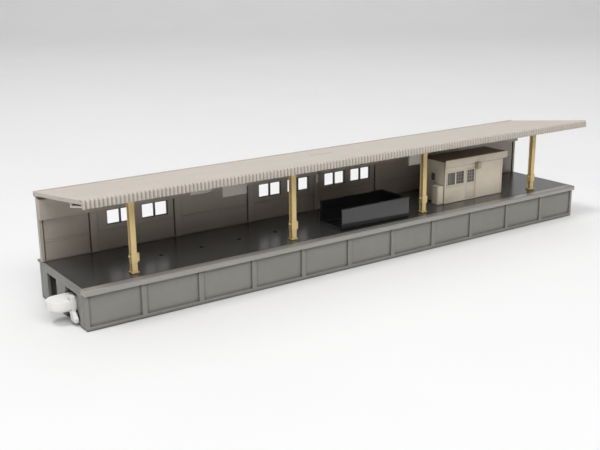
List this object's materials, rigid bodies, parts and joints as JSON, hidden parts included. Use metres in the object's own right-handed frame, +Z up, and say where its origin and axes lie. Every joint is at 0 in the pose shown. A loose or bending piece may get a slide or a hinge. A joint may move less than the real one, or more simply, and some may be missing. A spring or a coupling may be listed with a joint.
{
  "type": "model railway station platform",
  "caption": "Model railway side platform with a hollow ribbed base, rear wall with windows, lean-to roof on posts, stairwell, small office and end clip.",
  "frame": {"origin": "centre of the bounding box's bottom face, at ground level", "axes": "+X along the platform towards the end with no clip, +Y from the track side to the rear wall, +Z up"},
  "size_m": [0.2562, 0.0486, 0.047],
  "materials": {
    "base_grey": "satin moulded grey plastic",
    "deck_grey": "dark grey plastic with a soft shine",
    "parapet_grey": "dark grey plastic with a soft shine",
    "wall_beige": "satin moulded beige grey plastic",
    "roof_beige": "satin moulded pale beige plastic",
    "post_ochre": "satin moulded ochre plastic",
    "office_beige": "satin moulded warm beige plastic",
    "office_roof_black": "matt brown black plastic",
    "office_pane": "dark printed pane with a soft shine",
    "board_grey": "satin grey beige plastic",
    "joiner_white": "satin white plastic"
  },
  "bodies": {
    "platform": {"cross_rib_1": "base_grey", "cross_rib_2": "base_grey", "cross_rib_3": "base_grey", "cross_rib_4": "base_grey", "deck": "deck_grey", "front_coping": "base_grey", "front_wall": "base_grey", "left_end_frame": "base_grey", "left_end_rim": "base_grey", "post_1": "post_ochre", "post_2": "post_ochre", "post_3": "post_ochre", "post_4": "post_ochre", "post_collar_1": "post_ochre", "post_collar_2": "post_ochre", "post_collar_3": "post_ochre", "post_collar_4": "post_ochre", "rear_base_wall": "base_grey", "rear_rim": "base_grey", "rear_wall_left": "wall_beige", "rear_wall_right": "wall_beige", "right_end_frame": "base_grey", "right_end_rim": "base_grey", "roof_arm_1": "post_ochre", "roof_arm_2": "post_ochre", "roof_arm_3": "post_ochre", "roof_arm_4": "post_ochre", "stair_flight": "parapet_grey", "stair_parapet": "parapet_grey", "window_frame_1": "wall_beige", "window_frame_2": "wall_beige", "window_frame_3": "wall_beige", "window_frame_4": "wall_beige", "window_frame_5": "wall_beige", "window_frame_6": "wall_beige", "window_frame_7": "wall_beige", "window_frame_8": "wall_beige"},
    "roof": {"eave_tray": "roof_beige", "hanging_board_1": "board_grey", "hanging_board_2": "board_grey", "hanging_board_3": "board_grey", "rear_gutter": "roof_beige", "roof_fascia": "roof_beige", "roof_sheet": "roof_beige"},
    "office": {"equipment_cabinet": "office_beige", "office_door": "office_beige", "office_fascia": "office_beige", "office_front_wall": "office_beige", "office_left_wall": "office_beige", "office_rear_wall": "office_beige", "office_right_wall": "office_beige", "office_roof": "office_roof_black", "office_side_sign": "board_grey", "office_side_window": "office_pane", "office_window": "office_pane"},
    "joiner": {"joiner_clip": "joiner_white"}
  },
  "joints": [
    {"name": "roof_lift", "type": "slide", "parent": "platform", "child": "roof", "axis": [0, 0, 1], "range_m": [0, 0.012]},
    {"name": "office_lift", "type": "slide", "parent": "platform", "child": "office", "axis": [0, 0, 1], "range_m": [0, 0.005]},
    {"name": "joiner_slide", "type": "slide", "parent": "platform", "child": "joiner", "axis": [-1, 0, 0], "range_m": [0, 0.006]}
  ]
}
